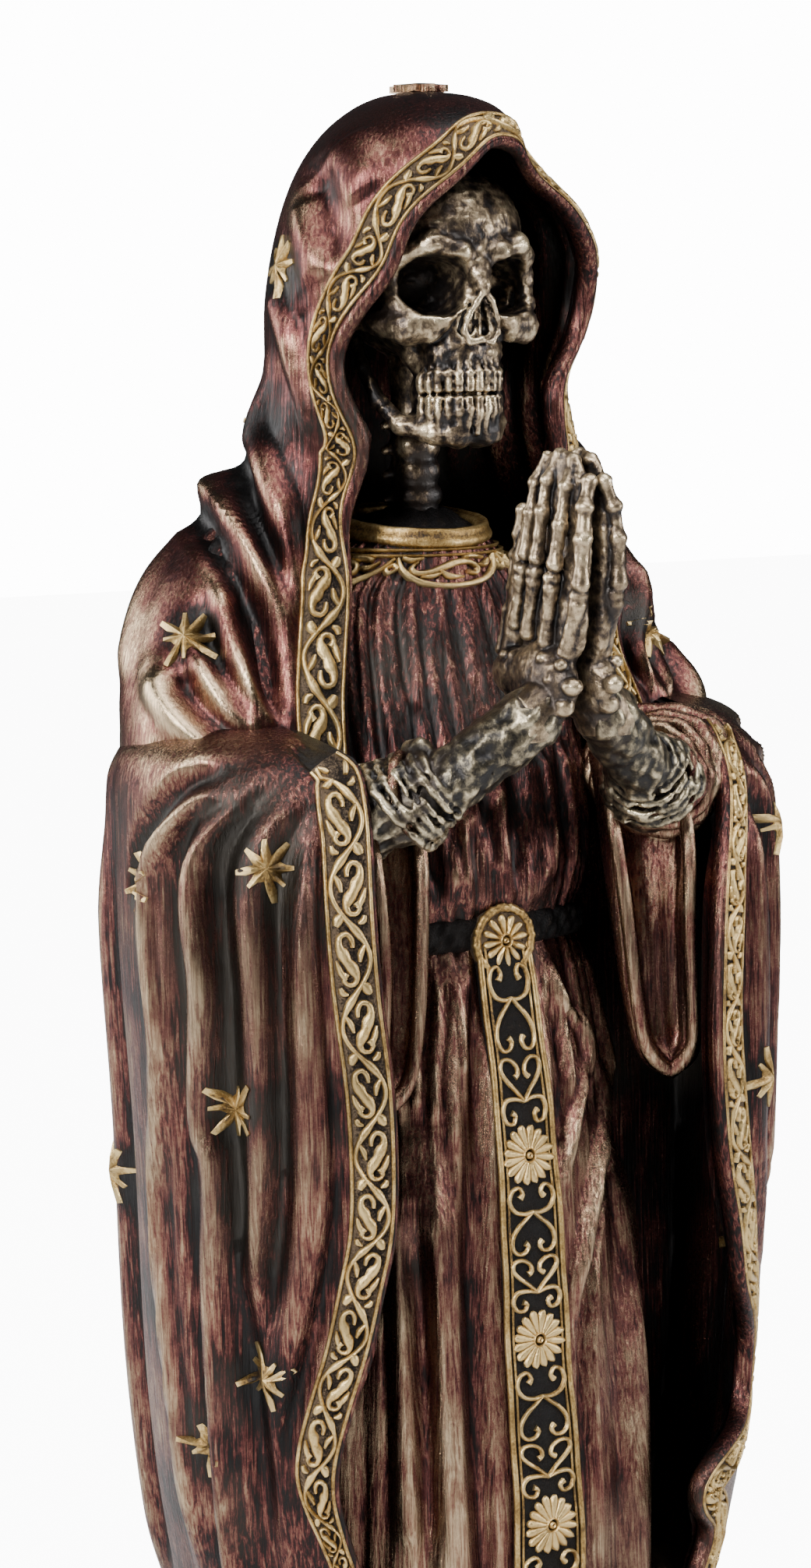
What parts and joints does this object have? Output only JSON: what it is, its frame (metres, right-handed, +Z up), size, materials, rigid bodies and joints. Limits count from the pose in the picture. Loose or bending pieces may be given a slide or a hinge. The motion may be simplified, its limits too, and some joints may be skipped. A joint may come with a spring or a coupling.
{
  "type": "hooded skeleton saint figure",
  "caption": "Standing hooded skeleton saint in a long belted robe and mantle, hands pressed together in prayer, cast in one piece with its low foot.",
  "frame": {"origin": "middle of the underside, where the figure stands", "axes": "+Z up along the standing figure, -Y the way the figure faces, +X to its left hand"},
  "size_m": [0.1353, 0.0982, 0.29],
  "materials": {
    "mantle_burgundy": "satin metallic paint, dark in the hollows and rubbed to bronze on the ridges",
    "gold_paint": "satin gold paint on raised ornament",
    "bone_bronze": "pale bronze with a dark wash",
    "dark_ground": "near-black wash behind the ornament"
  },
  "bodies": {
    "root": {"figure": "mantle_burgundy"}
  },
  "joints": []
}
